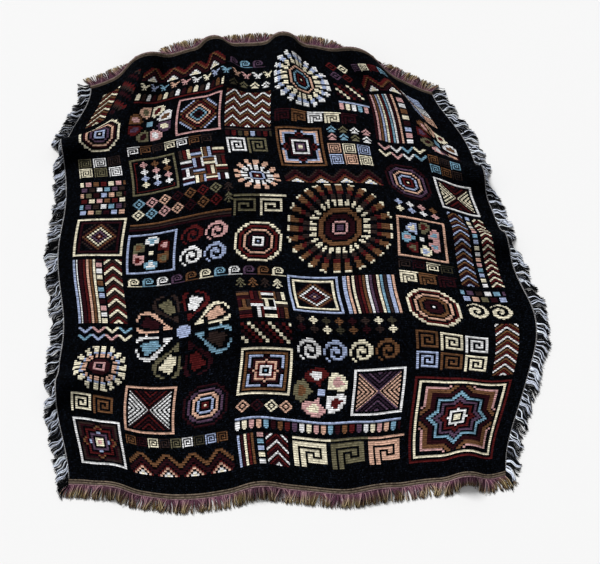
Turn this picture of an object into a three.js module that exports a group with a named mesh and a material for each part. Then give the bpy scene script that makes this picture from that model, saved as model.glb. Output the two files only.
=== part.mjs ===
import * as THREE from 'three';

// A woven tapestry throw laid out on a flat surface: one cloth with soft folds running in from
// its edges, and a cut yarn fringe along each of its four sides.
// Millimetres, +Z up, +Y toward the far end, the origin under the middle of the whole throw.

// Woven cloth, measured flat.
const CLOTH_WIDTH = 1206;
const CLOTH_LENGTH = 1440;
const CLOTH_THICKNESS = 2.5;
const CELLS_ACROSS = 34;
const CELLS_ALONG = 42;

// The way the cloth lies: the far end leans to the left and its corners are drawn back. The near
// end is drawn in at both sides, and its edge bellies out a little to the left of its middle. The
// right side bulges in one place. Places are shares of the half width and of the half length.
const FAR_LEAN = 87;
const FAR_CORNER_DRAW = 160;
const FAR_CORNER_POWER = 1.3;
const NEAR_CORNER_DRAW = 30;
const NEAR_BELLY = -0.32;
const NEAR_SIDE_DRAW = 43;
const NEAR_SIDE_POWER = 3.5;
const RIGHT_BULGE = { reach: 67, v: -0.31, halfLength: 0.22 };

// Rows and columns of the weave wander a little from straight, in slow waves with a slant.
const WANDER = 9;
const COLUMN_WAVE = { length: 470, slant: 0.0021, start: -0.36 };
const ROW_WAVE = { length: 430, slant: 0.0017, start: 3.73 };

// Folds, one row each. Both ends are shares of the half width (u) and of the half length (v).
// Each fold is a round ridge that narrows from one width to the other and bends aside on its way.
// It is highest at its crest, a share of its own length, and dies away at its second end.
const FOLDS = [
  // From the near edge.
  { u: -0.78, v: -1.0, toU: -0.58, toV: -0.5, width: 160, toWidth: 110, height: 20, bend: 20, crest: 0 },
  { u: -0.14, v: -1.0, toU: -0.2, toV: -0.55, width: 180, toWidth: 120, height: 22, bend: -25, crest: 0 },
  { u: 0.36, v: -1.0, toU: 0.22, toV: -0.42, width: 170, toWidth: 120, height: 20, bend: 20, crest: 0 },
  { u: 0.79, v: -1.0, toU: 0.68, toV: -0.42, width: 180, toWidth: 110, height: 36, bend: -20, crest: 0 },
  // From the far edge.
  { u: -0.7, v: 1.0, toU: -0.62, toV: 0.3, width: 240, toWidth: 130, height: 54, bend: -30, crest: 0 },
  { u: -0.28, v: 1.0, toU: -0.2, toV: 0.42, width: 170, toWidth: 110, height: 44, bend: 15, crest: 0 },
  { u: 0.14, v: 1.0, toU: 0.1, toV: 0.36, width: 190, toWidth: 120, height: 52, bend: -20, crest: 0 },
  { u: 0.6, v: 1.0, toU: 0.8, toV: -0.1, width: 270, toWidth: 150, height: 58, bend: 25, crest: 0 },
  // From the left and right edges.
  { u: -1.0, v: 0.58, toU: -0.66, toV: 0.64, width: 180, toWidth: 110, height: 46, bend: 0, crest: 0 },
  { u: -1.0, v: -0.62, toU: -0.58, toV: -0.5, width: 150, toWidth: 100, height: 32, bend: 15, crest: 0 },
  { u: 1.0, v: 0.46, toU: 0.64, toV: 0.52, width: 200, toWidth: 120, height: 50, bend: 0, crest: 0 },
  { u: 1.0, v: 0.08, toU: 0.4, toV: 0.18, width: 170, toWidth: 120, height: 36, bend: 20, crest: 0 },
  // Right across the cloth.
  { u: -1.0, v: -0.42, toU: 1.0, toV: -0.36, width: 240, toWidth: 240, height: 34, bend: 30, crest: 0.5 },
  { u: -0.9, v: 0.3, toU: 0.9, toV: 0.2, width: 190, toWidth: 190, height: 30, bend: -25, crest: 0.5 },
];

// Walking step along the weave and the furthest it may stray up or aside, as a share of the step.
const WALK_STEP = 4.5;
const STEEPEST = 0.92;

// Fringe: a narrow heading that follows the edge, with one tooth for each cell of the edge.
const SIDE_FRINGE_LENGTH = 42;
const END_FRINGE_LENGTH = 33;
const FRINGE_THICKNESS = 2.5;
const FRINGE_HEADING = 6;
const FRINGE_GAP = 0.42;
const TOOTH_SHARE = 0.7;
const STEEPEST_DROOP = 0.95;

const CLOTH_FINISH = { color: 0x17141b, roughness: 0.95, metalness: 0 };
const SIDE_FRINGE_FINISH = { color: 0x77747a, roughness: 0.95, metalness: 0 };
const END_FRINGE_FINISH = { color: 0x75605f, roughness: 0.95, metalness: 0 };

const UP = new THREE.Vector3(0, 0, 1);

function ease(share) {
  const held = Math.min(1, Math.max(0, share));
  return held * held * (3 - 2 * held);
}

function foldHeight(fold, u, v) {
  const startU = (fold.u * CLOTH_WIDTH) / 2;
  const startV = (fold.v * CLOTH_LENGTH) / 2;
  const runU = (fold.toU * CLOTH_WIDTH) / 2 - startU;
  const runV = (fold.toV * CLOTH_LENGTH) / 2 - startV;
  const length = Math.hypot(runU, runV);
  const share = ((u - startU) * runU + (v - startV) * runV) / (length * length);
  const held = Math.min(1, Math.max(0, share));
  const bent = fold.bend * Math.sin(Math.PI * held);
  const aside = Math.abs(((v - startV) * runU - (u - startU) * runV) / length - bent);
  const width = fold.width + (fold.toWidth - fold.width) * held;
  if (aside >= width / 2) {
    return 0;
  }
  const round = 0.5 + 0.5 * Math.cos((2 * Math.PI * aside) / width);
  const grown = fold.crest > 0 ? ease(share / fold.crest) : 1;
  const left = 1 - ease((share - fold.crest) / (1 - fold.crest));
  return fold.height * round * grown * left;
}

function heightAt(u, v) {
  return FOLDS.reduce((sum, fold) => sum + foldHeight(fold, u, v), 0);
}

function wanderOf(wave, along, aside) {
  return WANDER * Math.sin((2 * Math.PI * along) / wave.length + wave.slant * aside + wave.start);
}

// How far a place on the cloth is moved aside, to the right.
function slideX(u, v) {
  const across = (2 * u) / CLOTH_WIDTH;
  const far = v / CLOTH_LENGTH + 0.5;
  const near = Math.max(0, 1 - far);
  const fromBulge = ((2 * v) / CLOTH_LENGTH - RIGHT_BULGE.v) / RIGHT_BULGE.halfLength;
  const lean = FAR_LEAN * far ** 2;
  const drawnIn = NEAR_SIDE_DRAW * across * Math.abs(across) * near ** NEAR_SIDE_POWER;
  const bulge = RIGHT_BULGE.reach * Math.max(0, across) ** 2 * Math.exp(-(fromBulge ** 2));
  return wanderOf(COLUMN_WAVE, v, u) - lean - drawnIn + bulge;
}

// How far a place on the cloth is moved toward the far end.
function slideY(u, v) {
  const across = (2 * u) / CLOTH_WIDTH;
  const far = Math.max(0, v / CLOTH_LENGTH + 0.5);
  const near = 1 - far;
  const drawnBack = FAR_CORNER_DRAW * (Math.abs(across) * far) ** FAR_CORNER_POWER;
  const drawnIn = NEAR_CORNER_DRAW * (across - NEAR_BELLY) ** 2 * near ** 2;
  return wanderOf(ROW_WAVE, u, v) - drawnBack + drawnIn;
}

// How far a length of weave reaches once it has gone over the folds and aside with its slide.
function reachOf(distance, heightAlong, slideAlong) {
  const steps = Math.max(1, Math.ceil(Math.abs(distance) / WALK_STEP));
  const step = Math.abs(distance) / steps;
  let reach = 0;
  let lastHeight = heightAlong(0);
  let lastSlide = slideAlong(0);
  for (let i = 1; i <= steps; i += 1) {
    const height = heightAlong((distance * i) / steps);
    const slide = slideAlong((distance * i) / steps);
    const strayed = Math.min(Math.hypot(height - lastHeight, slide - lastSlide), STEEPEST * step);
    reach += Math.sqrt(step * step - strayed * strayed);
    lastHeight = height;
    lastSlide = slide;
  }
  return Math.sign(distance) * reach;
}

// The underside of the cloth at a place measured on the flat cloth from its middle.
function layOut(u, v) {
  const x = reachOf(u, (s) => heightAt(s, v), (s) => slideY(s, v)) + slideX(u, v);
  const y = reachOf(v, (s) => heightAt(u, s), (s) => slideX(u, s)) + slideY(u, v);
  return new THREE.Vector3(x, y, heightAt(u, v));
}

function layOutGrid() {
  const rows = [];
  for (let i = 0; i <= CELLS_ALONG; i += 1) {
    const row = [];
    for (let j = 0; j <= CELLS_ACROSS; j += 1) {
      const u = (j / CELLS_ACROSS - 0.5) * CLOTH_WIDTH;
      const v = (i / CELLS_ALONG - 0.5) * CLOTH_LENGTH;
      row.push(layOut(u, v));
    }
    rows.push(row);
  }
  return rows;
}

// Direction of a line of points at one of them.
function directionAt(points, k) {
  const before = points[Math.max(0, k - 1)];
  const after = points[Math.min(points.length - 1, k + 1)];
  return after.clone().sub(before).normalize();
}

// An edge of the cloth, taken counter-clockwise seen from above: its points, the level direction
// away from the cloth at each, and the upright of the edge there.
function edgeOf(points) {
  return points.map((point, k) => {
    const along = directionAt(points, k);
    const outward = along.clone().cross(UP).normalize();
    const upright = outward.clone().cross(along).normalize();
    return { point, along, outward, upright };
  });
}

function solid(name, corners, faces, finish) {
  const geometry = new THREE.BufferGeometry();
  const places = corners.flatMap((corner) => [corner.x, corner.y, corner.z]);
  geometry.setAttribute('position', new THREE.Float32BufferAttribute(places, 3));
  geometry.setIndex(faces.flat());
  geometry.computeVertexNormals();
  const mesh = new THREE.Mesh(geometry, new THREE.MeshStandardMaterial(finish));
  mesh.name = name;
  return mesh;
}

// Both faces of the cloth share one grid; the upper one stands off along the cloth's own upright.
function cloth(rows, edges) {
  const perRow = CELLS_ACROSS + 1;
  const perFace = perRow * (CELLS_ALONG + 1);
  const uprights = rows.map((row, i) => row.map((point, j) => {
    const column = rows.map((line) => line[j]);
    return directionAt(row, j).cross(directionAt(column, i)).normalize();
  }));
  edges.near.forEach((place, k) => { uprights[0][k] = place.upright; });
  edges.right.forEach((place, k) => { uprights[k][CELLS_ACROSS] = place.upright; });
  edges.far.forEach((place, k) => { uprights[CELLS_ALONG][CELLS_ACROSS - k] = place.upright; });
  edges.left.forEach((place, k) => { uprights[CELLS_ALONG - k][0] = place.upright; });

  const under = rows.flat();
  const over = under.map((point, k) => point.clone().addScaledVector(uprights.flat()[k], CLOTH_THICKNESS));
  const faces = [];
  for (let i = 0; i < CELLS_ALONG; i += 1) {
    for (let j = 0; j < CELLS_ACROSS; j += 1) {
      const a = i * perRow + j;
      const b = a + 1;
      const c = b + perRow;
      const d = a + perRow;
      faces.push([a, c, b], [a, d, c]);
      faces.push([perFace + a, perFace + b, perFace + c], [perFace + a, perFace + c, perFace + d]);
    }
  }
  const rim = [];
  for (let j = 0; j < CELLS_ACROSS; j += 1) {
    rim.push(j);
  }
  for (let i = 0; i < CELLS_ALONG; i += 1) {
    rim.push(i * perRow + CELLS_ACROSS);
  }
  for (let j = CELLS_ACROSS; j > 0; j -= 1) {
    rim.push(CELLS_ALONG * perRow + j);
  }
  for (let i = CELLS_ALONG; i > 0; i -= 1) {
    rim.push(i * perRow);
  }
  rim.forEach((a, k) => {
    const b = rim[(k + 1) % rim.length];
    faces.push([a, b, perFace + b], [a, perFace + b, perFace + a]);
  });
  return solid('cloth', [...under, ...over], faces, CLOTH_FINISH);
}

// One comb: the heading follows the edge, and the teeth lie on the surface, or hang toward it
// where a fold lifts the edge.
function fringe(name, edge, yarnLength, finish) {
  const corners = [];
  const faces = [];
  const addCorner = (place, upright) => {
    corners.push(place, place.clone().addScaledVector(upright, FRINGE_THICKNESS));
    return corners.length - 2;
  };
  const addWall = (a, b) => faces.push([a, b, b + 1], [a, b + 1, a + 1]);
  const addPlate = (a, b, c) => faces.push([a, c, b], [a + 1, b + 1, c + 1]);

  const stations = edge.map(({ point, along, outward }) => {
    const sink = Math.min(point.z / yarnLength, STEEPEST_DROOP);
    const hang = outward.clone().multiplyScalar(Math.sqrt(1 - sink ** 2)).addScaledVector(UP, -sink);
    const upright = hang.clone().cross(along).normalize();
    const inner = point.clone().addScaledVector(outward, FRINGE_GAP);
    const outer = inner.clone().addScaledVector(hang, FRINGE_HEADING);
    const tip = inner.clone().addScaledVector(hang, yarnLength);
    return { upright, inner, outer, tip };
  });
  const heading = stations.map(({ inner, outer, upright }) => ({
    inner: addCorner(inner, upright),
    outer: addCorner(outer, upright),
  }));

  const last = stations.length - 1;
  for (let k = 0; k < last; k += 1) {
    const [here, next] = [stations[k], stations[k + 1]];
    const [a, b] = [heading[k], heading[k + 1]];
    const between = (key, share) => here[key].clone().lerp(next[key], share);
    const startShare = (1 - TOOTH_SHARE) / 2;
    const endShare = (1 + TOOTH_SHARE) / 2;
    const startUp = between('upright', startShare);
    const endUp = between('upright', endShare);
    const rootStart = addCorner(between('outer', startShare), startUp);
    const rootEnd = addCorner(between('outer', endShare), endUp);
    const tipStart = addCorner(between('tip', startShare), startUp);
    const tipEnd = addCorner(between('tip', endShare), endUp);
    addPlate(a.inner, a.outer, rootStart);
    addPlate(a.inner, rootStart, b.inner);
    addPlate(b.inner, rootStart, rootEnd);
    addPlate(b.inner, rootEnd, b.outer);
    addPlate(rootStart, tipStart, tipEnd);
    addPlate(rootStart, tipEnd, rootEnd);
    addWall(b.inner, a.inner);
    addWall(a.outer, rootStart);
    addWall(rootStart, tipStart);
    addWall(tipStart, tipEnd);
    addWall(tipEnd, rootEnd);
    addWall(rootEnd, b.outer);
  }
  addWall(heading[0].inner, heading[0].outer);
  addWall(heading[last].outer, heading[last].inner);
  return solid(name, corners, faces, finish);
}

const grid = layOutGrid();
const edges = {
  near: edgeOf(grid[0]),
  right: edgeOf(grid.map((row) => row[CELLS_ACROSS])),
  far: edgeOf([...grid[CELLS_ALONG]].reverse()),
  left: edgeOf(grid.map((row) => row[0]).reverse()),
};

const throwBlanket = new THREE.Group();
throwBlanket.name = 'tapestry_throw';
throwBlanket.add(
  cloth(grid, edges),
  fringe('fringe_left', edges.left, SIDE_FRINGE_LENGTH, SIDE_FRINGE_FINISH),
  fringe('fringe_right', edges.right, SIDE_FRINGE_LENGTH, SIDE_FRINGE_FINISH),
  fringe('fringe_near', edges.near, END_FRINGE_LENGTH, END_FRINGE_FINISH),
  fringe('fringe_far', edges.far, END_FRINGE_LENGTH, END_FRINGE_FINISH),
);

const middle = new THREE.Box3().setFromObject(throwBlanket).getCenter(new THREE.Vector3());
throwBlanket.children.forEach((piece) => piece.geometry.translate(-middle.x, -middle.y, 0));

export default throwBlanket;
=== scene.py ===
import math

import bmesh
import bpy
import numpy as np
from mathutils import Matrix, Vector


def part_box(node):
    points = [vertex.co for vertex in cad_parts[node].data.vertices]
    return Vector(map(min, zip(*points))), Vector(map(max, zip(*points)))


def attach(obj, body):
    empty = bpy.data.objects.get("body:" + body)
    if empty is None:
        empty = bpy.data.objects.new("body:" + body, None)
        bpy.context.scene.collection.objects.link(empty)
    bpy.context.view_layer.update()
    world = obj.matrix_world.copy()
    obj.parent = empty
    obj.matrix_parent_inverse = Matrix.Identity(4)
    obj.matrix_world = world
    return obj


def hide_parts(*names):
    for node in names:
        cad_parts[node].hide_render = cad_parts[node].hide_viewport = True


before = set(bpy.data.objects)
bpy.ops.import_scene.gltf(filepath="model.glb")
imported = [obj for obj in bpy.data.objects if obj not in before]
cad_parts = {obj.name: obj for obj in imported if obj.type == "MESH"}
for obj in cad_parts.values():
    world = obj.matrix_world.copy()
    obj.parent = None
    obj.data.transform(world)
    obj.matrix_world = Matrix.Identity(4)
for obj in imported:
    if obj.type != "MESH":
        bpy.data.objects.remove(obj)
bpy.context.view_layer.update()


# The woven cloth: one cotton tapestry, woven in many colours on a black ground, about 2 mm thick.
# It is cut to a rectangle, laid out by hand, and lies flat except where soft folds run in from its
# edges. Its two ends carry a plain ribbed heading and its sides a pale edge yarn.
stitch = 0.003
columns = 402
rows = 480
cloth_width = columns * stitch
cloth_length = rows * stitch
cloth_thickness = 0.0022

far_lean = 0.087
far_corner_draw = 0.160
far_corner_power = 1.3
near_corner_draw = 0.030
near_belly = -0.32
near_side_draw = 0.043
near_side_power = 3.5
right_bulge = 0.067
right_bulge_place = -0.31
right_bulge_half = 0.22
wander = 0.009
column_wave = 0.470
column_twist = 2.1
column_start = -0.36
row_wave = 0.430
row_twist = 1.7
row_start = 3.73
furthest_stray = 0.92

# Each fold runs from one place to another, both as shares of the half width and the half length.
# It narrows from one width to the other, bows aside by its bend and is highest at its crest, a
# share of its own length.
folds = [
    # from u, v,   to u, v,        widths,       height, bend,  crest
    (-0.78, -1.00, -0.58, -0.50, 0.160, 0.110, 0.020, 0.020, 0.0),
    (-0.14, -1.00, -0.20, -0.55, 0.180, 0.120, 0.022, -0.025, 0.0),
    (0.36, -1.00, 0.22, -0.42, 0.170, 0.120, 0.020, 0.020, 0.0),
    (0.79, -1.00, 0.68, -0.42, 0.180, 0.110, 0.036, -0.020, 0.0),
    (-0.70, 1.00, -0.62, 0.30, 0.240, 0.130, 0.054, -0.030, 0.0),
    (-0.28, 1.00, -0.20, 0.42, 0.170, 0.110, 0.044, 0.015, 0.0),
    (0.14, 1.00, 0.10, 0.36, 0.190, 0.120, 0.052, -0.020, 0.0),
    (0.60, 1.00, 0.80, -0.10, 0.270, 0.150, 0.058, 0.025, 0.0),
    (-1.00, 0.58, -0.66, 0.64, 0.180, 0.110, 0.046, 0.000, 0.0),
    (-1.00, -0.62, -0.58, -0.50, 0.150, 0.100, 0.032, 0.015, 0.0),
    (1.00, 0.46, 0.64, 0.52, 0.200, 0.120, 0.050, 0.000, 0.0),
    (1.00, 0.08, 0.40, 0.18, 0.170, 0.120, 0.036, 0.020, 0.0),
    (-1.00, -0.42, 1.00, -0.36, 0.240, 0.240, 0.034, 0.030, 0.5),
    (-0.90, 0.30, 0.90, 0.20, 0.190, 0.190, 0.030, -0.025, 0.5),
]


def ease(share):
    """A share from 0 to 1 that starts and ends softly."""
    held = np.clip(share, 0, 1)
    return held * held * (3 - 2 * held)


def fold_height(u, v):
    """How high the folds lift the cloth at a place on it."""
    height = np.zeros_like(u)
    for from_u, from_v, to_u, to_v, width, to_width, rise, bend, crest in folds:
        start = np.array((from_u * cloth_width, from_v * cloth_length)) / 2
        run = np.array((to_u * cloth_width, to_v * cloth_length)) / 2 - start
        length = np.hypot(*run)
        share = ((u - start[0]) * run[0] + (v - start[1]) * run[1]) / length**2
        held = np.clip(share, 0, 1)
        aside = ((v - start[1]) * run[0] - (u - start[0]) * run[1]) / length
        aside = abs(aside - bend * np.sin(np.pi * held))
        wide = width + (to_width - width) * held
        across = 0.5 + 0.5 * np.cos(2 * np.pi * np.minimum(aside / wide, 0.5))
        along = 1 - ease((share - crest) / (1 - crest))
        if crest:
            along = along * ease(share / crest)
        height += rise * across * along
    return height


def reach(height, slide, axis):
    """How far the weave reaches from its middle, stitch by stitch over the folds and aside."""
    strayed = np.hypot(np.diff(height, axis=axis), np.diff(slide, axis=axis))
    run = np.sqrt(stitch**2 - np.minimum(strayed, furthest_stray * stitch) ** 2)
    run = np.insert(np.cumsum(run, axis=axis), 0, 0, axis=axis)
    return run - np.take(run, [run.shape[axis] // 2], axis=axis)


flat_u, flat_v = np.meshgrid(
    np.linspace(-cloth_width / 2, cloth_width / 2, columns + 1),
    np.linspace(-cloth_length / 2, cloth_length / 2, rows + 1),
)
height = fold_height(flat_u, flat_v)
across = 2 * flat_u / cloth_width
far = np.clip(flat_v / cloth_length + 0.5, 0, 1)
near = 1 - far
from_bulge = (2 * flat_v / cloth_length - right_bulge_place) / right_bulge_half
slide_x = (
    wander * np.sin(2 * np.pi * flat_v / column_wave + column_twist * flat_u + column_start)
    - far_lean * far**2
    - near_side_draw * across * abs(across) * near**near_side_power
    + right_bulge * np.maximum(across, 0) ** 2 * np.exp(-(from_bulge**2))
)
slide_y = (
    wander * np.sin(2 * np.pi * flat_u / row_wave + row_twist * flat_v + row_start)
    - far_corner_draw * (abs(across) * far) ** far_corner_power
    + near_corner_draw * (across - near_belly) ** 2 * near**2
)
plan_x = reach(height, slide_y, 1) + slide_x
plan_y = reach(height, slide_x, 0) + slide_y
low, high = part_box("cloth")
plan_x += (low[0] + high[0]) / 2 - (plan_x.min() + plan_x.max()) / 2
plan_y += (low[1] + high[1]) / 2 - (plan_y.min() + plan_y.max()) / 2


def ripple(per_u, per_v, start=0.0):
    """A wave over the flat cloth, by its turn for each metre both ways."""
    return np.sin(per_u * flat_u + per_v * flat_v + start)


# The cloth's own slackness between the folds: faint swells a hand's breadth across.
swell_height = 0.0013
small_swell = 0.6
swell = ripple(31, 9, 0.4) * ripple(-7, 23) + small_swell * ripple(57, -19, 1.1) * ripple(13, 44, 2.0)
under_side = np.stack([plan_x, plan_y, height + swell_height * np.maximum(swell, 0)], axis=-1)
slope = np.cross(np.gradient(under_side, axis=1), np.gradient(under_side, axis=0))
upright = slope / np.linalg.norm(slope, axis=-1, keepdims=True)
top_side = under_side + cloth_thickness * upright

# The design is charted stitch by stitch. Each yarn has a letter.
yarns = {
    "k": (0.016, 0.023, 0.040),
    "c": (0.965, 0.930, 0.820),
    "w": (0.955, 0.955, 0.960),
    "a": (0.860, 0.690, 0.600),
    "r": (0.820, 0.635, 0.630),
    "i": (0.665, 0.720, 0.855),
    "s": (0.500, 0.660, 0.750),
    "b": (0.168, 0.060, 0.084),
    "d": (0.325, 0.102, 0.106),
    "o": (0.430, 0.298, 0.200),
    "n": (0.195, 0.150, 0.140),
    "g": (0.425, 0.405, 0.315),
    "m": (0.240, 0.225, 0.175),
    "u": (0.350, 0.265, 0.350),
    "e": (0.180, 0.120, 0.180),
    "t": (0.422, 0.374, 0.324),
    "q": (0.240, 0.195, 0.165),
    "p": (0.600, 0.480, 0.500),
    "l": (0.620, 0.615, 0.620),
}


# Each motif numbers the stitches of its patch: i counts from the left, j from the near end, in a
# patch w wide and h tall, and the number picks one of the patch's n letters.
def frames(i, j, w, h, n):
    return np.minimum(np.minimum(np.minimum(i, w - 1 - i), np.minimum(j, h - 1 - j)), n - 1)


def bold(motif):
    """The same motif with two stitches to each step, as the coarser figures are drawn."""

    def doubled(i, j, w, h, n):
        return motif(i // 2, j // 2, w / 2, h / 2, n)

    return doubled


def diamonds(cell):
    def motif(i, j, w, h, n):
        ring = (abs(2 * (i % cell) - cell + 1) * h / cell + abs(2 * j - h + 1)) / 2
        return np.minimum(ring, n - 1)

    return motif


def rings(i, j, w, h, n):
    return np.minimum(np.hypot((i - (w - 1) / 2) * h / w, j - (h - 1) / 2), n - 1)


def stars(i, j, w, h, n):
    x, y = abs(i - (w - 1) / 2) * h / w, abs(j - (h - 1) / 2)
    square = 1.41
    return np.minimum(np.minimum(square * np.maximum(x, y), x + y), n - 1)


def bowties(i, j, w, h, n):
    x, y = abs(i - (w - 1) / 2) * h / w, abs(j - (h - 1) / 2)
    half = n // 2
    return np.where(x > y, (x - y) // 2 % half, half + (y - x) // 2 % (n - half))


def upright_stripes(i, j, w, h, n):
    return i % n


def level_stripes(i, j, w, h, n):
    return j % n


def chevrons(turn):
    def motif(i, j, w, h, n):
        return (j + abs(i % (2 * turn) - turn)) % n

    return motif


def fishbone(i, j, w, h, n):
    return (j + abs(i - (w - 1) / 2)) % n


def checks(size):
    def motif(i, j, w, h, n):
        return (i // size + j // size) % n

    return motif


def basket(bar, run):
    def motif(i, j, w, h, n):
        along = np.where((i // run + j // run) % 2 == 0, j, i)
        hue = (along // bar + i // run * 2 + j // run) % (n - 1)
        return np.where(along % bar < bar - 1, hue, n - 1)

    return motif


def pyramids(base, tread):
    def motif(i, j, w, h, n):
        side = abs(i % base - (base - 1) / 2) // tread
        return np.minimum(side + j // tread, n - 1)

    return motif


def sun(rays, disc, share=0.5):
    def motif(i, j, w, h, n):
        x, y = (i - (w - 1) / 2) * h / w, j - (h - 1) / 2
        ring = np.hypot(x, y)
        gap = np.arctan2(y, x) / (2 * np.pi) * rays % 1 > share
        return np.where((ring >= disc) & gap, n - 1, np.minimum(ring, n - 1))

    return motif


def petals(count, disc, tip, line=0.0):
    plump = 1.2
    heart_wide = 0.45
    heart_place = 0.6
    heart_long = 0.22
    disc_gap = 1.5

    def motif(i, j, w, h, n):
        x, y = (i - (w - 1) / 2) * h / w, j - (h - 1) / 2
        ring = np.hypot(x, y)
        turn = np.arctan2(y, x) / (2 * np.pi) % 1 * count
        along = np.clip((ring - disc) / (tip - disc), 0, 1)
        half_wide = plump * along * np.sqrt(1 - along)
        aside = abs(turn % 1 - 0.5)
        from_heart = abs(along - heart_place)
        heart = (aside < heart_wide * half_wide) & (from_heart < heart_long)
        round_heart = (aside < (heart_wide + line) * half_wide) & (from_heart < heart_long + line / 2)
        hue = 1 + (turn // 1 + 3 * heart) % (n - 2)
        petal = (aside < half_wide) & (along > 0) & (heart | ~round_heart)
        return np.where(ring < disc - disc_gap, 0, np.where(petal, hue, n - 1))

    return motif


def dots(pitch):
    dot_radius = 0.42 * pitch

    def motif(i, j, w, h, n):
        line = j // pitch
        shifted = i + line % 2 * pitch // 2
        x, y = shifted % pitch - (pitch - 1) / 2, j % pitch - (pitch - 1) / 2
        hue = (shifted // pitch * 3 + line * 5) % (n - 1)
        return np.where(np.hypot(x, y) < dot_radius, hue, n - 1)

    return motif


def teeth(bar, pitch, tooth, up=False):
    def motif(i, j, w, h, n):
        level = j if up else h - 1 - j
        place = i % pitch
        rounded = (level == h - 1) & ((place == 0) | (place == tooth - 1))
        shown = (level > bar) & (place < tooth) & ~rounded
        return np.where(level < bar, 0, np.where(shown, 1 + i // pitch % (n - 2), n - 1))

    return motif


def dashes(pitch, dash):
    def motif(i, j, w, h, n):
        return np.where(j % pitch < dash, j // pitch % (n - 1), n - 1)

    return motif


def spirals(pitch):
    margin = 0.3

    def motif(i, j, w, h, n):
        x, y = i % h - (h - 1) / 2, j - (h - 1) / 2
        ring, turn = np.hypot(x, y), np.arctan2(y, x) / (2 * np.pi)
        line = ((ring - pitch * turn) % pitch < pitch / 2) & (ring < h / 2 - margin)
        return np.where(line, i // h % (n - 1), n - 1)

    return motif


def charted(*lines):
    """A motif that repeats a small chart, in the next letter each time."""
    marks = np.array([[mark == "#" for mark in line] for line in lines[::-1]])

    def motif(i, j, w, h, n):
        tall, wide = marks.shape
        shown = marks[(j % tall).astype(int), (i % wide).astype(int)]
        return np.where(shown, (i // wide + j // tall) % (n - 1), n - 1)

    return motif


hook = charted(
    "#########.",
    "#.......#.",
    "#.#####.#.",
    "#.#...#.#.",
    "#.#.#.#.#.",
    "#.#.###.#.",
    "#.#.....#.",
    "#.#######.",
    "#.........",
    "..........",
)
maze = charted(
    "############..",
    "#..........#..",
    "#.########.#..",
    "#.#......#.#..",
    "#.#.####.#.#..",
    "#.#.#..#.#.#..",
    "#.#.#.##.#.#..",
    "#.#.#....#.#..",
    "#.#.######.#..",
    "#.#........#..",
    "#.##########..",
    "#.............",
    "..............",
)
key = charted(
    "################",
    "................",
    "##############..",
    "##############..",
    "##..........##..",
    "##.########.##..",
    "##.##....##.##..",
    "##.##.##.##.##..",
    "##.##.##....##..",
    "##.##.########..",
    "##.##.########..",
    "##.##...........",
    "##.##...........",
    "................",
)
thin_key = charted(
    "############",
    "............",
    "##########..",
    "#........#..",
    "#.#####..#..",
    "#.#...#..#..",
    "#.#......#..",
    "#.########..",
    "#...........",
    "#...........",
    "............",
)
cross = charted(
    "....##.....",
    "....##.....",
    "..######...",
    ".##.##.##..",
    "..######...",
    "....##.....",
    "....##.....",
    "...........",
)
bird = charted(
    "###........",
    "..##.....#.",
    "...##..###.",
    ".########..",
    "..######...",
    "....###....",
    "....#.#....",
    "...##.##...",
    "...........",
)
wave = charted(
    "...######....",
    "..##....##...",
    ".##..##..##..",
    ".##.#..#.##..",
    ".##.#....##..",
    ".##.######...",
    ".##..........",
    ".##..........",
    "#############",
    ".............",
)
arrow = charted(
    ".....#.....",
    "....###....",
    "...##.##...",
    "..##...##..",
    ".##..#..##.",
    "....###....",
    "...#####...",
    "..#######..",
    "...........",
)
zigzag = charted(
    "##........##",
    "###......###",
    ".###....###.",
    "..###..###..",
    "...######...",
    "....####....",
    ".....##.....",
    "............",
)
fir = charted(
    ".....#.....",
    "....###....",
    "...##.##...",
    "..##.#.##..",
    "....###....",
    "...##.##...",
    "..##.#.##..",
    ".##..#..##.",
    ".....#.....",
    "....###....",
    "...........",
)
lozenge = charted(
    ".....##.....",
    "....####....",
    "...##..##...",
    "..##....##..",
    ".##..##..##.",
    "##..####..##",
    ".##..##..##.",
    "..##....##..",
    "...##..##...",
    "....####....",
    ".....##.....",
    "............",
)

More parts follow.
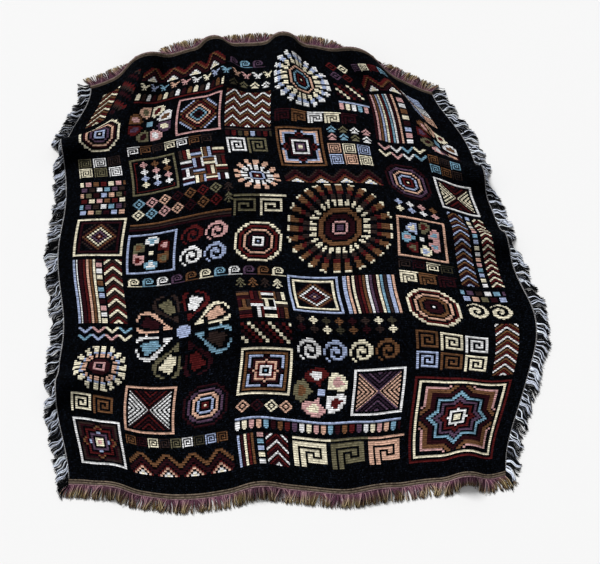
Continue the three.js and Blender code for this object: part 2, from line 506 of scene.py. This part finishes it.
# The patches, band by band from the near end: motif, left, near, width, height, yarn letters.
patches = [
    (frames, 14, 20, 44, 44, "wwkk"),
    (bold(stars), 18, 24, 36, 36, "rkckuikdokbnk"),
    (bold(hook), 14, 68, 40, 20, "cok"),
    (bold(sun(18, 6, 0.55)), 12, 91, 50, 50, "ukrbbkaaiccck"),
    (zigzag, 14, 144, 48, 16, "sirck"),
    (upright_stripes, 14, 164, 20, 72, "iikwkbbbkddkaakookcck"),
    (dashes(7, 5), 35, 164, 5, 72, "cwrbisok"),
    (fishbone, 42, 164, 16, 72, "kccckdddknnk"),
    (frames, 14, 240, 44, 44, "cckkbbk"),
    (bold(diamonds(15)), 21, 247, 30, 30, "adkukckobknk"),
    (dots(7), 14, 288, 42, 42, "icwarsgoubdnk"),
    (maze, 14, 334, 42, 26, "cgwnak"),
    (bold(rings), 13, 364, 46, 46, "wkikukabkckk"),
    (fishbone, 14, 414, 18, 46, "kcckddkook"),
    (checks(4), 36, 414, 22, 46, "kbkndk"),
    (pyramids(23, 2), 62, 20, 92, 20, "cwkadkbbkook"),
    (hook, 62, 44, 90, 10, "obcngwmik"),
    (frames, 62, 58, 44, 44, "aakk"),
    (bowties, 66, 62, 36, 36, "wkwkbkdk"),
    (bold(rings), 109, 57, 46, 46, "cdkikakukbkk"),
    (bold(petals(8, 5, 22.5, 0.25)), 62, 106, 92, 92, "icdnawgbsk"),
    (wave, 62, 204, 143, 10, "cswuok"),
    (frames, 62, 219, 44, 44, "iikk"),
    (bold(petals(6, 3, 9)), 66, 223, 36, 36, "cdwgrsok"),
    (bold(spirals(3)), 110, 219, 44, 22, "wik"),
    (bold(spirals(3)), 110, 242, 44, 22, "drk"),
    (level_stripes, 62, 267, 92, 8, "bbknnkoo"),
    (lozenge, 62, 279, 84, 24, "csrabodgk"),
    (fir, 146, 280, 11, 22, "gnk"),
    (frames, 62, 307, 44, 44, "ggkkdkk"),
    (cross, 70, 315, 33, 32, "ciwrok"),
    (basket(4, 11), 110, 307, 44, 44, "ibwndcok"),
    (thin_key, 62, 355, 84, 11, "wonck"),
    (bold(petals(8, 3, 11.5)), 61, 369, 46, 46, "swcaodgrubk"),
    (frames, 110, 370, 44, 44, "rrkk"),
    (bold(diamonds(18)), 114, 374, 36, 36, "ckbkskakdkobik"),
    (teeth(2, 6, 4, True), 62, 418, 92, 11, "dcnwbok"),
    (bird, 62, 432, 143, 9, "cisarwk"),
    (pyramids(23, 2), 62, 444, 92, 16, "ccwkbbkoddk"),
    (upright_stripes, 158, 20, 16, 28, "kiikbbkcckddkook"),
    (dashes(6, 4), 176, 20, 5, 28, "wcisrak"),
    (fishbone, 183, 20, 19, 28, "kwwkbbkddk"),
    (lozenge, 158, 67, 48, 12, "abck"),
    (frames, 158, 84, 44, 44, "cckkook"),
    (bold(stars), 165, 91, 30, 30, "skwkdakbkik"),
    (checks(3), 158, 132, 44, 18, "kckbkd"),
    (basket(4, 11), 158, 154, 44, 33, "dbonckwk"),
    (fir, 158, 191, 44, 11, "gonck"),
    (bold(rings), 157, 217, 46, 46, "ikwkbkakdkck"),
    (bold(thin_key), 156, 266, 48, 22, "gck"),
    (bold(sun(14, 5, 0.5)), 157, 291, 46, 46, "cdkikwwwaaak"),
    (bold(hook), 158, 341, 40, 20, "wgk"),
    (teeth(2, 6, 4), 158, 363, 44, 9, "nbdmoik"),
    (chevrons(7), 158, 374, 44, 42, "kwwkddkook"),
    (arrow, 158, 420, 44, 9, "mgcwk"),
    (wave, 158, 446, 39, 10, "usk"),
    (bold(key), 206, 20, 96, 28, "cgak"),
    (teeth(2, 6, 4), 158, 52, 140, 11, "iwcrasboduk"),
    (bold(petals(5, 3, 11.5)), 205, 67, 46, 46, "icdgrwok"),
    (frames, 254, 68, 44, 44, "wwkk"),
    (bowties, 258, 72, 36, 36, "akakukek"),
    (bold(spirals(3)), 206, 117, 88, 22, "wicok"),
    (cross, 206, 143, 88, 16, "bncmok"),
    (frames, 206, 163, 44, 44, "iikkcck"),
    (bold(diamonds(15)), 213, 170, 30, 30, "akukdkwkobkk"),
    (upright_stripes, 254, 163, 44, 44, "iiikaakkcckbbkddkookwwkuukbbkcckssknnk"),
    (bold(sun(26, 11, 0.5)), 205, 211, 94, 94, "uukrkbbkookcccnnnddoooock"),
    (pyramids(23, 2), 206, 308, 92, 18, "icwkodkbbnk"),
    (frames, 206, 330, 44, 44, "ookk"),
    (bold(stars), 210, 334, 36, 36, "ckukwkbkdkiak"),
    (maze, 254, 330, 42, 26, "iack"),
    (arrow, 254, 359, 44, 18, "rsgwk"),
    (key, 206, 379, 80, 14, "bowck"),
    (bold(sun(20, 7, 0.55)), 205, 397, 62, 62, "ckdkskakccciiwwk"),
    (teeth(2, 6, 4), 270, 397, 30, 11, "ircwsk"),
    (checks(3), 270, 412, 27, 18, "kbkckd"),
    (lozenge, 270, 434, 24, 24, "udck"),
    (frames, 306, 20, 82, 82, "ddkkcckk"),
    (bold(stars), 314, 28, 66, 66, "cckwwkddkuuksskbbkookrk"),
    (bold(hook), 306, 107, 60, 40, "iocwnk"),
    (fishbone, 370, 107, 18, 56, "kwwkddkook"),
    (bold(rings), 302, 151, 46, 46, "wkbbkokakdck"),
    (spirals(6), 350, 167, 36, 18, "ck"),
    (dots(7), 351, 187, 35, 14, "icwarsgoubdnk"),
    (key, 303, 199, 48, 14, "cobwk"),
    (thin_key, 303, 215, 48, 11, "nbcmdweck"),
    (fishbone, 354, 205, 14, 88, "kiikbbkook"),
    (dashes(6, 4), 371, 205, 4, 88, "wcisrak"),
    (fishbone, 378, 205, 10, 88, "kddkcck"),
    (frames, 303, 229, 44, 44, "aakk"),
    (bold(petals(7, 2.5, 9)), 307, 233, 36, 36, "wrgisdck"),
    (cross, 303, 277, 44, 16, "ciwrok"),
    (bold(rings), 302, 297, 46, 46, "ckdkikakukbk"),
    (frames, 352, 297, 36, 36, "wwkk"),
    (bowties, 356, 301, 28, 28, "ckckbkdk"),
    (hook, 352, 337, 30, 20, "sonk"),
    (zigzag, 303, 347, 48, 16, "crwsk"),
    (upright_stripes, 302, 367, 30, 56, "bbkrrkookiikcckddksskwwkbbkaak"),
    (dashes(7, 5), 334, 367, 6, 56, "wribcok"),
    (bold(petals(9, 3, 11)), 343, 362, 46, 46, "swcaodgrubk"),
    (pyramids(23, 2), 302, 427, 46, 18, "ccwkbbkoddk"),
    (hook, 302, 449, 40, 10, "ucdswk"),
    (maze, 352, 414, 28, 39, "iawk"),
]
heading = "pttqt"
chart = np.full((rows, columns), "k")
for motif, left, near, wide, tall, letters in patches:
    j, i = np.mgrid[0:tall, 0:wide].astype(float)
    number = motif(i, j, wide, tall, len(letters)).astype(int)
    chart[near : near + tall, left : left + wide] = np.array(list(letters))[number]
chart[:, [0, -1]] = "l"
for row, letter in enumerate(heading):
    chart[[row, -1 - row]] = letter


def linear(colour):
    """A colour as it is seen, turned to amounts of light."""
    colour = np.asarray(colour, dtype=float)
    return np.where(colour <= 0.04045, colour / 12.92, ((colour + 0.055) / 1.055) ** 2.4)


# No two stitches take the dye or catch the light quite alike, the black ones least of all.
chance_of = np.random.default_rng(7)
faintest_dye = 0.70
fullest_dye = 1.12
black_tone = chance_of.exponential(1.0, chart.shape)
dyed_tone = chance_of.uniform(faintest_dye, fullest_dye, chart.shape)
evenness = np.where(chart == "k", black_tone, dyed_tone)
yarn_chart = np.ones((rows, columns, 4))
for letter, colour in yarns.items():
    yarn_chart[chart == letter, :3] = linear(colour)
yarn_chart[..., :3] *= evenness[..., None]

# The upper face has two stitches to a quad each way, the under face six, and the cut edge joins
# the two all round.
top_run = 2
under_run = 6
flat_half = 0.5
bm = bmesh.new()
top_columns, top_rows = columns // top_run, rows // top_run
bmesh.ops.create_grid(bm, x_segments=top_columns, y_segments=top_rows, size=flat_half)
top_count, top_faces = len(bm.verts), len(bm.faces)
under_columns, under_rows = columns // under_run, rows // under_run
bmesh.ops.create_grid(bm, x_segments=under_columns, y_segments=under_rows, size=flat_half)
bmesh.ops.reverse_faces(bm, faces=bm.faces[top_faces:])
bmesh.ops.bridge_loops(bm, edges=[edge for edge in bm.edges if edge.is_boundary])
cloth_mesh = bpy.data.meshes.new("cloth")
bm.to_mesh(cloth_mesh)
bm.free()

flat = np.empty(len(cloth_mesh.vertices) * 3)
cloth_mesh.vertices.foreach_get("co", flat)
flat = flat.reshape(-1, 3)
column = np.rint((flat[:, 0] + flat_half) * columns).astype(int)
row = np.rint((flat[:, 1] + flat_half) * rows).astype(int)
on_top = np.arange(len(flat)) < top_count
laid = np.where(on_top[:, None], top_side[row, column], under_side[row, column])

middles = np.empty(len(cloth_mesh.polygons) * 3)
cloth_mesh.polygons.foreach_get("center", middles)
middles = middles.reshape(-1, 3)
starts = np.empty(len(cloth_mesh.polygons), dtype=int)
cloth_mesh.polygons.foreach_get("loop_start", starts)
corners = np.empty(len(cloth_mesh.loops), dtype=int)
cloth_mesh.loops.foreach_get("vertex_index", corners)
quad_column = ((middles[:, 0] + flat_half) * top_columns).astype(int)
quad_row = ((middles[:, 1] + flat_half) * top_rows).astype(int)
face_column = np.clip(quad_column, 0, top_columns - 1) * top_run
face_row = np.clip(quad_row, 0, top_rows - 1) * top_run
face_under = np.logical_or.reduceat(~on_top[corners], starts)

# A quad's four stitches are four colours. On the under face the yarns carried behind the design
# dull it to their mean.
carried_colour = (0.30, 0.26, 0.25)
carried_share = 0.5
carried = np.array((*linear(carried_colour), 1))
quarters = {"near left": (0, 0), "near right": (1, 0), "far left": (0, 1), "far right": (1, 1)}
for name, (right, beyond) in quarters.items():
    hue = yarn_chart[face_row + beyond, face_column + right]
    hue[face_under] = (1 - carried_share) * hue[face_under] + carried_share * carried
    stitch_hue = cloth_mesh.attributes.new(name, "FLOAT_COLOR", "FACE")
    stitch_hue.data.foreach_set("color", hue.ravel())

weave_map = cloth_mesh.uv_layers.new(name="weave")
weave_map.data.foreach_set("uv", (flat[corners, :2] + flat_half).ravel())
cloth_mesh.vertices.foreach_set("co", laid.ravel())
cloth_mesh.polygons.foreach_set("use_smooth", np.ones(len(cloth_mesh.polygons), dtype=bool))
cloth_mesh.update()


def node(kind, **settings):
    made = nodes.new(kind)
    for name, value in settings.items():
        setattr(made, name, value)
    return made


def feed(socket, value):
    """Sets a socket to a number, or links it to what another node puts out."""
    if isinstance(value, (int, float)):
        socket.default_value = value
    else:
        links.new(value, socket)


def sums(operation, first, second=0.0):
    made = node("ShaderNodeMath", operation=operation)
    feed(made.inputs[0], first)
    feed(made.inputs[1], second)
    return made.outputs[0]


def between(value, low, high, to_low, to_high):
    made = node("ShaderNodeMapRange")
    feed(made.inputs["Value"], value)
    feed(made.inputs["From Min"], low)
    feed(made.inputs["From Max"], high)
    feed(made.inputs["To Min"], to_low)
    feed(made.inputs["To Max"], to_high)
    return made.outputs[0]


def scaled_by_tone(hue, tone):
    """A colour made lighter or darker by a tone, which on the weave holds painted shade."""
    made = node("ShaderNodeVectorMath", operation="SCALE")
    feed(made.inputs[0], hue)
    feed(made.inputs["Scale"], tone)
    return made.outputs[0]


def blend(share, first, second):
    made = node("ShaderNodeMix", data_type="RGBA")
    feed(made.inputs["Factor"], share)
    feed(made.inputs[6], first)
    feed(made.inputs[7], second)
    return made.outputs[2]


# Cotton fibre shows in the weave and on the loose yarns alike: fine flecks that darken or lighten
# the dye and stand up a little.
cotton_fibre = bpy.data.node_groups.new("cotton fibre", "ShaderNodeTree")
for name, kind in [
    ("Hue", "NodeSocketColor"),
    ("Place", "NodeSocketVector"),
    ("Fineness", "NodeSocketFloat"),
    ("Darkest", "NodeSocketFloat"),
    ("Lightest", "NodeSocketFloat"),
]:
    cotton_fibre.interface.new_socket(name, in_out="INPUT", socket_type=kind)
cotton_fibre.interface.new_socket("Hue", in_out="OUTPUT", socket_type="NodeSocketColor")
cotton_fibre.interface.new_socket("Height", in_out="OUTPUT", socket_type="NodeSocketFloat")
nodes, links = cotton_fibre.nodes, cotton_fibre.links
given = node("NodeGroupInput").outputs
flecks = node("ShaderNodeTexNoise")
flecks.inputs["Detail"].default_value = 2
feed(flecks.inputs["Vector"], given["Place"])
feed(flecks.inputs["Scale"], given["Fineness"])
noise_low = 0.3
noise_high = 0.7
fleck_tone = between(flecks.outputs["Fac"], noise_low, noise_high, given["Darkest"], given["Lightest"])
shown = node("NodeGroupOutput").inputs
feed(shown["Hue"], scaled_by_tone(given["Hue"], fleck_tone))
feed(shown["Height"], flecks.outputs["Fac"])


def with_fibre(hue, place, fineness, darkest, lightest):
    made = node("ShaderNodeGroup", node_tree=cotton_fibre)
    feed(made.inputs["Hue"], hue)
    feed(made.inputs["Place"], place)
    feed(made.inputs["Fineness"], fineness)
    feed(made.inputs["Darkest"], darkest)
    feed(made.inputs["Lightest"], lightest)
    return made.outputs


weave = bpy.data.materials.new("tapestry weave")
weave.use_nodes = True
nodes, links = weave.node_tree.nodes, weave.node_tree.links
shader = nodes["Principled BSDF"]
shader.inputs["Roughness"].default_value = 0.95
shader.inputs["Specular IOR Level"].default_value = 0.02
weave_uv = node("ShaderNodeUVMap", uv_map="weave")
place = node("ShaderNodeSeparateXYZ")
feed(place.inputs[0], weave_uv.outputs["UV"])
stitch_u = sums("MULTIPLY", place.outputs["X"], columns)
stitch_v = sums("MULTIPLY", place.outputs["Y"], rows)
right_half = sums("GREATER_THAN", sums("FRACT", sums("DIVIDE", stitch_u, top_run)), 0.5)
far_half = sums("GREATER_THAN", sums("FRACT", sums("DIVIDE", stitch_v, top_run)), 0.5)
quarter = {name: node("ShaderNodeAttribute", attribute_name=name).outputs["Color"] for name in quarters}
near_hue = blend(right_half, quarter["near left"], quarter["near right"])
far_hue = blend(right_half, quarter["far left"], quarter["far right"])
hue = blend(far_half, near_hue, far_hue)

# Each row of stitches is one fine rib, and short runs along it are lighter or darker. Painted shade
# darkens the grooves between the ribs and warp threads, and every other row is painted darker as the
# shade of a row lying deeper, the rows between it painted lighter.
rib = sums("COSINE", sums("MULTIPLY", stitch_v, 2 * math.pi))
warp = sums("COSINE", sums("MULTIPLY", stitch_u, 2 * math.pi))
warp_share = 0.4
deepest = 1 + warp_share
relief = sums("ADD", rib, sums("MULTIPLY", warp, warp_share))
run_stitches = 2
run_place = node("ShaderNodeCombineXYZ")
feed(run_place.inputs["X"], sums("FLOOR", sums("DIVIDE", stitch_u, run_stitches)))
feed(run_place.inputs["Y"], sums("FLOOR", stitch_v))
chance = node("ShaderNodeTexWhiteNoise", noise_dimensions="2D")
feed(chance.inputs["Vector"], run_place.outputs[0])
coords = node("ShaderNodeTexCoord")
wear = node("ShaderNodeTexNoise")
wear.inputs["Scale"].default_value = 9
wear.inputs["Detail"].default_value = 3
feed(wear.inputs["Vector"], coords.outputs["Object"])
run_tone = between(chance.outputs["Value"], 0, 0.5, to_low=0.56, to_high=1.10)
# Painted shade: the deeper a place lies in the weave's relief, the darker its colour.
groove_painted_shade = between(relief, -deepest, deepest, to_low=1.0, to_high=0.70)
# Painted shade: every other row of stitches is darkened as if it lay deeper, the rows between lightened.
row_painted_shade = between(far_half, 0, 1, to_low=1.16, to_high=0.58)
wear_tone = between(wear.outputs["Fac"], noise_low, noise_high, to_low=0.88, to_high=1.10)
# The weave's tone joins the painted shade of grooves and rows with the random runs and wear.
tone = sums("MULTIPLY", sums("MULTIPLY", sums("MULTIPLY", run_tone, groove_painted_shade), row_painted_shade), wear_tone)
fibres_a_column = 1.2
fibres_a_row = 5
fibre_place = node("ShaderNodeCombineXYZ")
feed(fibre_place.inputs["X"], sums("MULTIPLY", stitch_u, fibres_a_column))
feed(fibre_place.inputs["Y"], sums("MULTIPLY", stitch_v, fibres_a_row))
fibred = with_fibre(scaled_by_tone(hue, tone), fibre_place.outputs[0], fineness=1, darkest=0.80, lightest=1.14)
feed(shader.inputs["Base Color"], fibred["Hue"])

fibre_depth = 1.2
raised = node("ShaderNodeBump", invert=True)
raised.inputs["Strength"].default_value = 0.5
raised.inputs["Distance"].default_value = 0.0006
feed(raised.inputs["Height"], sums("SUBTRACT", relief, sums("MULTIPLY", fibred["Height"], fibre_depth)))
feed(shader.inputs["Normal"], raised.outputs["Normal"])

cloth = bpy.data.objects.new("woven_cloth", cloth_mesh)
bpy.context.collection.objects.link(cloth)
cloth_mesh.materials.append(weave)
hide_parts("cloth")
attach(cloth, "root")


# The side fringes: the ends of the weft, black and white cotton, left loose past the edge yarn and
# cut to one length. They lie outward in soft waves, or hang to the surface where a fold lifts the
# edge.
yarn_steps = 7
yarn_sides = 3
straight_radius = 0.25
root_depth = 0.0015
tip_thickness = 0.8

# How the yarns lie: they lean and wave together along the edge, fan out at its two ends, hang where
# it is lifted and arch up a little where it is not. Lengths are in metres and turns in radians.
root_jitter = 0.4
edge_sight = 0.004
drift_waves = 5
drift_start = 6.3
drift_evening = 2
lean_drift = 2
phase_drift = 1.4
phase_jitter = 0.3
bends = 2.2 * math.pi
corner_fan = 0.7
corner_reach = 0.03
furthest_lean = 1.25
steepest_hang = 0.95
hang_at_root = 0.75
hang_gain = 0.5
furthest_fall = 0.98
least_fluff = 0.5
most_fluff = 1.2
fluff_arch = 2.6
upright_tilt = 0.3

# How they are dyed: the kinds take turns without a repeat, and each fades from its root colour to its
# tip colour.
golden = (math.sqrt(5) - 1) / 2
kind_jitter = 0.15
fade_start = -0.2
fade_end = 1.1
fade_drift = 0.3
weakest_dye = 0.75
strongest_dye = 1.2


def cut_yarns(name, solid, slot, edge, length, uneven, pitch, strand, sway, stray, kinds, slant=0.0):
    """One joined mesh of loose yarns along an edge, taken counter-clockwise seen from above."""
    share, thick, lift, root_colour, tip_colour = (np.array(list(column)) for column in zip(*kinds))
    gone = np.concatenate([[0], np.cumsum(np.linalg.norm(np.diff(edge, axis=0), axis=1))])
    count = round(gone[-1] / pitch)
    place = (np.arange(count) + chance_of.uniform(-root_jitter, root_jitter, count)) / (count - 1)
    place = np.clip(place, 0, 1) * gone[-1]

    def on_edge(where):
        return np.stack([np.interp(where, gone, edge[:, k]) for k in range(3)], axis=1)

    root = on_edge(place)
    along = on_edge(place + edge_sight) - on_edge(place - edge_sight)
    along[:, 2] = 0
    along /= np.linalg.norm(along, axis=1, keepdims=True)
    outward = np.stack([along[:, 1], -along[:, 0], np.zeros(count)], axis=1)

    def drift(shortest, longest):
        """How the yarns along the edge change together, in waves between two lengths."""
        waves = chance_of.uniform(2 * math.pi / longest, 2 * math.pi / shortest, drift_waves)
        return sum(np.sin(place * wave + chance_of.uniform(0, drift_start)) for wave in waves) / drift_evening

    in_strand = np.arange(count) // strand
    turn_about = (in_strand * golden + chance_of.normal(0, kind_jitter, count)[in_strand]) % 1
    kind = np.searchsorted(np.cumsum(share)[:-1], turn_about)
    yarn_radius = thick[kind] / 2
    lean = lean_drift * drift(shortest=0.03, longest=0.16) + chance_of.normal(0, 1, count)[in_strand]
    lean = slant + stray * lean
    to_end = np.minimum(place, gone[-1] - place)
    lean += np.where(place < gone[-1] / 2, -1, 1) * corner_fan * np.clip(1 - to_end / corner_reach, 0, 1)
    lean = np.clip(lean, -furthest_lean, furthest_lean)
    phase = phase_drift * drift(shortest=0.04, longest=0.20)
    phase += chance_of.normal(0, phase_jitter, count)[in_strand]
    reach_out = length * chance_of.uniform(1 - uneven, 1 + uneven, count)
    fluff = lift[kind] * chance_of.uniform(least_fluff, most_fluff, count)
    sink = np.minimum(np.maximum(root[:, 2] - yarn_radius, 0) / reach_out, steepest_hang)

    points = np.empty((yarn_steps + 1, count, 3))
    points[0] = root - root_depth * outward
    for k in range(yarn_steps):
        t = (k + 0.5) / yarn_steps
        turn = lean + sway * np.sin(bends * t + phase)
        fall = np.clip(sink * (hang_at_root + hang_gain * t), 0, furthest_fall)
        level = np.sqrt(1 - fall**2)
        step = (np.cos(turn) * level)[:, None] * outward + (np.sin(turn) * level)[:, None] * along
        step[:, 2] = -fall
        points[k + 1] = points[k] + step * (reach_out / yarn_steps)[:, None]
    rise = np.sin(np.linspace(0, fluff_arch, yarn_steps + 1))[:, None] * fluff
    points[..., 2] = np.maximum(points[..., 2] + rise, yarn_radius)

    path = np.gradient(points, axis=0)
    path /= np.linalg.norm(path, axis=-1, keepdims=True)
    aside = np.cross(path, np.array((0, 0, 1.0)) + upright_tilt * outward)
    aside /= np.linalg.norm(aside, axis=-1, keepdims=True)
    above = np.cross(aside, path)
    thin = np.linspace(1, tip_thickness, yarn_steps + 1)

    # The yarns start straight, one beside the other, and are then laid along their paths.
    bm = bmesh.new()
    bmesh.ops.create_cone(
        bm,
        cap_ends=True,
        segments=yarn_sides,
        radius1=straight_radius,
        radius2=straight_radius,
        depth=yarn_steps,
    )
    made = 1
    while made < count:
        more = min(made, count - made)
        chosen = [face for face in bm.faces if face.verts[0].co.x < more - 0.5]
        copies = bmesh.ops.duplicate(bm, geom=chosen)["geom"]
        copied_verts = [part for part in copies if isinstance(part, bmesh.types.BMVert)]
        bmesh.ops.translate(bm, verts=copied_verts, vec=(made, 0, 0))
        made += more
    lengthwise = [edge for edge in bm.edges if edge.verts[0].co.z != edge.verts[1].co.z]
    bmesh.ops.subdivide_edges(bm, edges=lengthwise, cuts=yarn_steps - 1)
    mesh = bpy.data.meshes.new(name)
    bm.to_mesh(mesh)
    bm.free()
    straight = np.empty(len(mesh.vertices) * 3)
    mesh.vertices.foreach_get("co", straight)
    straight = straight.reshape(-1, 3)
    yarn = np.rint(straight[:, 0]).astype(int)
    step = np.rint(straight[:, 2] + yarn_steps / 2).astype(int)
    upward = (straight[:, 0] - yarn)[:, None] / straight_radius * above[step, yarn]
    sideways = straight[:, 1:2] / straight_radius * aside[step, yarn]
    skin = points[step, yarn] + (yarn_radius[yarn] * thin[step])[:, None] * (upward + sideways)
    mesh.vertices.foreach_set("co", skin.ravel())

    fade = fade_drift * drift(shortest=0.06, longest=0.40)[:, None]
    fade = ease(np.linspace(fade_start, fade_end, yarn_steps + 1) + fade)[..., None]
    hue = linear(root_colour)[kind][:, None] * (1 - fade) + linear(tip_colour)[kind][:, None] * fade
    hue = hue * chance_of.uniform(weakest_dye, strongest_dye, (count, 1, 1))
    hue = np.clip(hue, 0, 1)[yarn, step]
    colour = mesh.attributes.new("yarn", "FLOAT_COLOR", "POINT")
    colour.data.foreach_set("color", np.insert(hue, 3, 1, axis=1).ravel())
    mesh.polygons.foreach_set("use_smooth", np.ones(len(mesh.polygons), dtype=bool))
    mesh.update()
    mesh.materials.append(fringe_yarn)
    piece = bpy.data.objects.new(name, mesh)
    bpy.context.collection.objects.link(piece)
    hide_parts(solid)
    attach(piece, "root")
    return piece


fringe_yarn = bpy.data.materials.new("cut cotton yarn")
fringe_yarn.use_nodes = True
nodes, links = fringe_yarn.node_tree.nodes, fringe_yarn.node_tree.links
shader = nodes["Principled BSDF"]
shader.inputs["Roughness"].default_value = 0.9
shader.inputs["Specular IOR Level"].default_value = 0.1
yarn_colour = node("ShaderNodeAttribute", attribute_name="yarn")
coords = node("ShaderNodeTexCoord")
fibred = with_fibre(
    yarn_colour.outputs["Color"],
    coords.outputs["Object"],
    fineness=520,
    darkest=0.65,
    lightest=1.15,
)
feed(shader.inputs["Base Color"], fibred["Hue"])
twist = node("ShaderNodeBump")
twist.inputs["Strength"].default_value = 0.4
twist.inputs["Distance"].default_value = 0.0005
feed(twist.inputs["Height"], fibred["Height"])
feed(shader.inputs["Normal"], twist.outputs["Normal"])

side_cut = {
    "slot": "side_fringe_yarn",
    "length": 0.041,
    "uneven": 0.06,
    "pitch": 0.0009,
    "strand": 2,
    "sway": 0.5,
    "stray": 0.10,
    "kinds": [
        # share, thickness, lift, colour at the root, colour at the tip
        (0.79, 0.0021, 0.0038, (0.016, 0.020, 0.032), (0.016, 0.020, 0.032)),
        (0.16, 0.0023, 0.0056, (0.890, 0.920, 0.985), (0.870, 0.900, 0.970)),
        (0.05, 0.0020, 0.0040, (0.330, 0.345, 0.390), (0.300, 0.315, 0.360)),
    ],
}
side_slant = 0.60
mid_side = (top_side + under_side) / 2
left_edge, right_edge = mid_side[::-1, 0], mid_side[:, -1]
left_fringe = cut_yarns("left_fringe", "fringe_left", edge=left_edge, slant=side_slant, **side_cut)
right_fringe = cut_yarns("right_fringe", "fringe_right", edge=right_edge, slant=-side_slant, **side_cut)


# The end fringes: the ends of the warp in mauve, brown, khaki and cream cotton, loose past the
# ribbed heading and cut a little shorter.
end_cut = {
    "slot": "end_fringe_yarn",
    "length": 0.033,
    "uneven": 0.11,
    "pitch": 0.0009,
    "strand": 1,
    "sway": 0.15,
    "stray": 0.14,
    "kinds": [
        # share, thickness, lift, colour at the root, colour at the tip
        (0.32, 0.0024, 0.0010, (0.205, 0.118, 0.148), (0.200, 0.148, 0.105)),
        (0.34, 0.0024, 0.0022, (0.400, 0.252, 0.325), (0.390, 0.300, 0.215)),
        (0.22, 0.0024, 0.0032, (0.370, 0.235, 0.300), (0.425, 0.370, 0.235)),
        (0.12, 0.0024, 0.0048, (0.600, 0.460, 0.490), (0.690, 0.620, 0.470)),
    ],
}
near_fringe = cut_yarns("near_fringe", "fringe_near", edge=mid_side[0], **end_cut)
far_fringe = cut_yarns("far_fringe", "fringe_far", edge=mid_side[-1, ::-1], **end_cut)


# The stage: a pale floor, one broad soft light from the upper left and an even sky, which itself
# looks as pale as the floor.
floor_half = 20
floor_gap = 0.0004
floor_tone = 0.75
bm = bmesh.new()
bmesh.ops.create_grid(bm, x_segments=1, y_segments=1, size=floor_half)
bmesh.ops.translate(bm, verts=bm.verts, vec=(0, 0, -floor_gap))
floor_mesh = bpy.data.meshes.new("floor")
bm.to_mesh(floor_mesh)
bm.free()
floor = bpy.data.objects.new("floor", floor_mesh)
bpy.context.collection.objects.link(floor)
paint = bpy.data.materials.new("pale floor")
paint.use_nodes = True
shader = paint.node_tree.nodes["Principled BSDF"]
shader.inputs["Base Color"].default_value = (floor_tone, floor_tone, floor_tone, 1)
shader.inputs["Roughness"].default_value = 0.9
floor_mesh.materials.append(paint)

sky_light = 0.42
sky_seen = 0.92
sky = bpy.data.worlds.new("studio")
sky.use_nodes = True
nodes, links = sky.node_tree.nodes, sky.node_tree.links
seen = node("ShaderNodeLightPath").outputs["Is Camera Ray"]
feed(nodes["Background"].inputs["Strength"], between(seen, 0, 1, sky_light, sky_seen))
nodes["Background"].inputs["Color"].default_value = (1, 1, 1, 1)
bpy.context.scene.world = sky

lamp = bpy.data.lights.new("soft lamp", "SUN")
lamp.energy = 3.7
lamp.angle = math.radians(24)
soft_lamp = bpy.data.objects.new("soft lamp", lamp)
lamp_place = np.array((-2.0, 3.4, 3.8))
soft_lamp.location = lamp_place
soft_lamp.rotation_euler = (
    0,
    math.acos(lamp_place[2] / np.linalg.norm(lamp_place)),
    math.atan2(lamp_place[1], lamp_place[0]),
)
bpy.context.collection.objects.link(soft_lamp)

# The camera looks down on the throw from its near end.
picture_width = 600
focal_pixels = 1140
camera_rise = math.radians(61.5)
camera_distance = 3.017
camera_aim = np.array((0.024, -0.110, 0.0))
camera_data = bpy.data.cameras.new("camera")
camera_data.sensor_width = 36
camera_data.lens = focal_pixels / picture_width * camera_data.sensor_width
camera = bpy.data.objects.new("camera", camera_data)
away = np.array((0, -math.cos(camera_rise), math.sin(camera_rise)))
camera.location = camera_aim + away * camera_distance
camera.rotation_euler = (math.pi / 2 - camera_rise, 0, 0)
bpy.context.collection.objects.link(camera)
bpy.context.scene.camera = camera
bpy.context.scene.view_settings.view_transform = "Standard"
